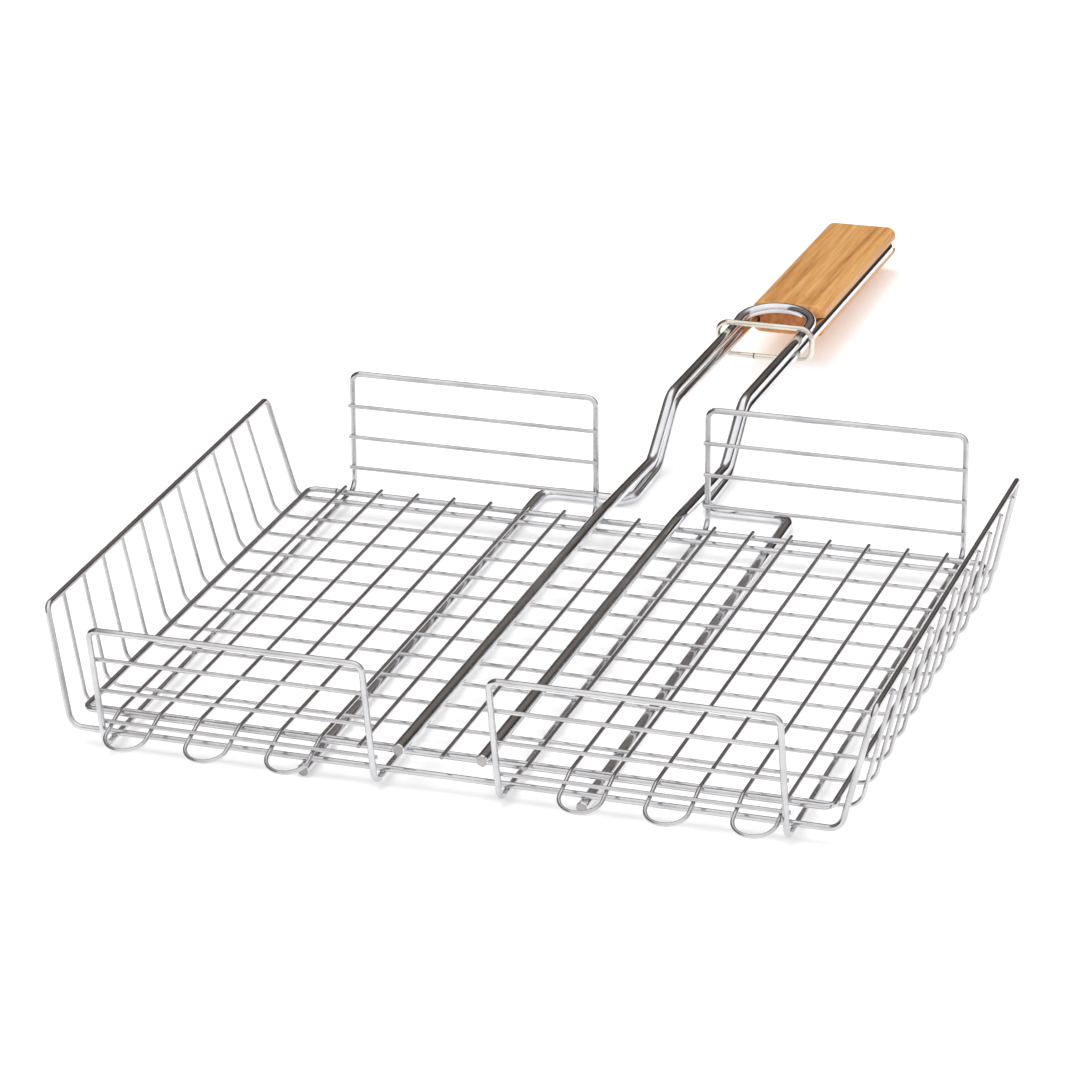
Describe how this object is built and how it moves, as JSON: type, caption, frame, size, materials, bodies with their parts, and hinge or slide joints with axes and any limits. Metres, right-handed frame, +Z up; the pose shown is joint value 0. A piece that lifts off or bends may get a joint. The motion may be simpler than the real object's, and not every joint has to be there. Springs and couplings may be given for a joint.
{
  "type": "grill basket",
  "caption": "Wire grilling basket: open tray with leaning end walls and ladder panels, a drop-in lid grid under its lowest bars, wire handles, wooden grip and a sliding ring.",
  "frame": {"origin": "centre of the bounding box, on the plane it stands on", "axes": "+X along the tray's long side, +Y from the tray to the grip, +Z up"},
  "size_m": [0.4016, 0.7166, 0.0685],
  "materials": {
    "frame_wire": "bright plated steel wire",
    "mesh_wire": "bright plated thin steel wire",
    "handle_wire": "bright plated thick steel wire",
    "grip_wood": "honey-coloured, lightly varnished",
    "ring_wire": "warm plated steel wire"
  },
  "bodies": {
    "tray": {"tray_rim": "frame_wire", "tray_cross_wire_01": "mesh_wire", "tray_cross_wire_02": "mesh_wire", "tray_cross_wire_03": "mesh_wire", "tray_cross_wire_04": "mesh_wire", "tray_cross_wire_05": "mesh_wire", "tray_cross_wire_06": "mesh_wire", "tray_cross_wire_07": "mesh_wire", "tray_cross_wire_08": "mesh_wire", "tray_cross_wire_09": "mesh_wire", "tray_cross_wire_10": "mesh_wire", "tray_cross_wire_11": "mesh_wire", "panel_loop_left": "frame_wire", "panel_loop_right": "frame_wire", "rung_front_left_1": "mesh_wire", "rung_front_left_2": "mesh_wire", "rung_front_left_3": "mesh_wire", "rung_front_right_1": "mesh_wire", "rung_front_right_2": "mesh_wire", "rung_front_right_3": "mesh_wire", "rung_rear_left_1": "mesh_wire", "rung_rear_left_2": "mesh_wire", "rung_rear_left_3": "mesh_wire", "rung_rear_right_1": "mesh_wire", "rung_rear_right_2": "mesh_wire", "rung_rear_right_3": "mesh_wire", "lower_handle_wire": "handle_wire", "grip": "grip_wood"},
    "lid": {"lid_rim": "frame_wire", "lid_hairpin_left_1": "mesh_wire", "lid_hairpin_left_2": "mesh_wire", "lid_hairpin_left_3": "mesh_wire", "lid_hairpin_right_1": "mesh_wire", "lid_hairpin_right_2": "mesh_wire", "lid_hairpin_right_3": "mesh_wire", "lid_single_left": "mesh_wire", "lid_single_centre": "mesh_wire", "lid_single_right": "mesh_wire", "lid_handle_loop": "handle_wire", "lid_handle_front_left": "handle_wire", "lid_handle_front_right": "handle_wire", "lid_handle_rise_left": "handle_wire", "lid_handle_rise_right": "handle_wire"},
    "ring": {"locking_ring": "ring_wire"}
  },
  "joints": [
    {"name": "lid_play", "type": "hinge", "parent": "tray", "child": "lid", "pos_m": [0, -0.34314, 0.017], "axis": [1, 0, 0], "range_deg": [0, 0.09]},
    {"name": "ring_slide", "type": "slide", "parent": "tray", "child": "ring", "axis": [0, 0.9991, -0.0419], "range_m": [-0.079, 0.004]}
  ]
}
